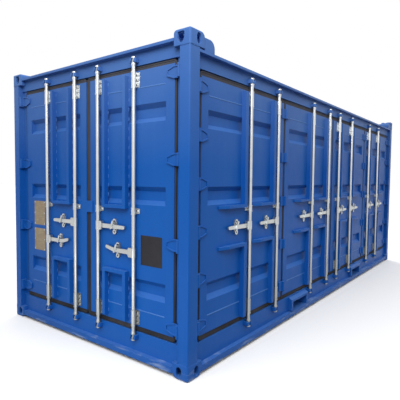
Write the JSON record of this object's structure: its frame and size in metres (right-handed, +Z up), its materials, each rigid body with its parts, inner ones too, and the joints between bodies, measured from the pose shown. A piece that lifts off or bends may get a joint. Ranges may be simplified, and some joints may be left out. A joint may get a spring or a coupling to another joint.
{
  "type": "open-side shipping container",
  "caption": "Hollow steel cargo box on corner fittings, with two hinged end doors, turning lock bars and fixed folding side doors along one long side.",
  "frame": {"origin": "middle of the footprint, on the underside of the bottom corner fittings", "axes": "+X along the length away from the end doors, +Y across the width away from the folding doors, +Z up"},
  "size_m": [6.058, 2.438, 2.591],
  "materials": {
    "blue_paint": "semi-gloss marine paint, lightly scuffed along the bottom rails",
    "painted_casting": "cast steel under the same blue paint, worn at the corners",
    "galvanised_steel": "hot-dip galvanised, pale and matt",
    "seal_rubber": "extruded black rubber, dulled by dust",
    "plywood_floor": "varnished plywood"
  },
  "bodies": {
    "frame": {"bottom_corner_fittings": "painted_casting", "cam_keepers": "blue_paint", "closed_side_bottom_rail": "blue_paint", "closed_side_top_rail": "blue_paint", "closed_side_wall": "blue_paint", "cross_members": "blue_paint", "door_side_bottom_rail": "blue_paint", "door_side_top_rail": "blue_paint", "floor_boards": "plywood_floor", "fork_pockets": "blue_paint", "front_bottom_rail": "blue_paint", "front_left_post": "blue_paint", "front_right_post": "blue_paint", "front_top_rail": "blue_paint", "front_wall": "blue_paint", "post_hinge_lugs": "blue_paint", "rear_header": "blue_paint", "rear_left_post": "blue_paint", "rear_right_post": "blue_paint", "rear_sill": "blue_paint", "roof_corner_blocks": "blue_paint", "roof_haunch": "blue_paint", "roof_panel": "blue_paint", "side_bar_brackets": "galvanised_steel", "side_fold_hinges": "blue_paint", "side_handle_catches": "galvanised_steel", "side_handles": "galvanised_steel", "side_hinge_blades": "blue_paint", "side_leaf_1": "blue_paint", "side_leaf_2": "blue_paint", "side_leaf_3": "blue_paint", "side_leaf_4": "blue_paint", "side_lock_bars": "galvanised_steel", "side_seals": "seal_rubber", "top_corner_fittings": "painted_casting"},
    "left_end_door": {"left_end_bar_brackets": "galvanised_steel", "left_end_handle_catches": "galvanised_steel", "left_end_hinge_blades": "blue_paint", "left_end_leaf": "blue_paint", "left_end_seal": "seal_rubber"},
    "right_end_door": {"right_end_bar_brackets": "galvanised_steel", "right_end_handle_catches": "galvanised_steel", "right_end_hinge_blades": "blue_paint", "right_end_leaf": "blue_paint", "right_end_seal": "seal_rubber", "seal_cover_plate": "blue_paint"},
    "left_inner_bar": {"left_inner_handle": "galvanised_steel", "left_inner_lock_bar": "galvanised_steel"},
    "left_outer_bar": {"left_outer_handle": "galvanised_steel", "left_outer_lock_bar": "galvanised_steel"},
    "right_inner_bar": {"right_inner_handle": "galvanised_steel", "right_inner_lock_bar": "galvanised_steel"},
    "right_outer_bar": {"right_outer_handle": "galvanised_steel", "right_outer_lock_bar": "galvanised_steel"}
  },
  "joints": [
    {"name": "left_end_door_hinge", "type": "hinge", "parent": "frame", "child": "left_end_door", "pos_m": [-3.013, 1.102, 1.33], "axis": [0, 0, -1], "range_deg": [0, 180]},
    {"name": "right_end_door_hinge", "type": "hinge", "parent": "frame", "child": "right_end_door", "pos_m": [-3.013, -1.102, 1.33], "axis": [0, 0, 1], "range_deg": [0, 180]},
    {"name": "left_inner_bar_turn", "type": "hinge", "parent": "left_end_door", "child": "left_inner_bar", "pos_m": [-3.006, 0.166, 1.33], "axis": [0, 0, -1], "range_deg": [-100, 0]},
    {"name": "left_outer_bar_turn", "type": "hinge", "parent": "left_end_door", "child": "left_outer_bar", "pos_m": [-3.006, 0.619, 1.33], "axis": [0, 0, 1], "range_deg": [-100, 0]},
    {"name": "right_inner_bar_turn", "type": "hinge", "parent": "right_end_door", "child": "right_inner_bar", "pos_m": [-3.006, -0.166, 1.33], "axis": [0, 0, 1], "range_deg": [-100, 0]},
    {"name": "right_outer_bar_turn", "type": "hinge", "parent": "right_end_door", "child": "right_outer_bar", "pos_m": [-3.006, -0.619, 1.33], "axis": [0, 0, -1], "range_deg": [-100, 0]}
  ]
}
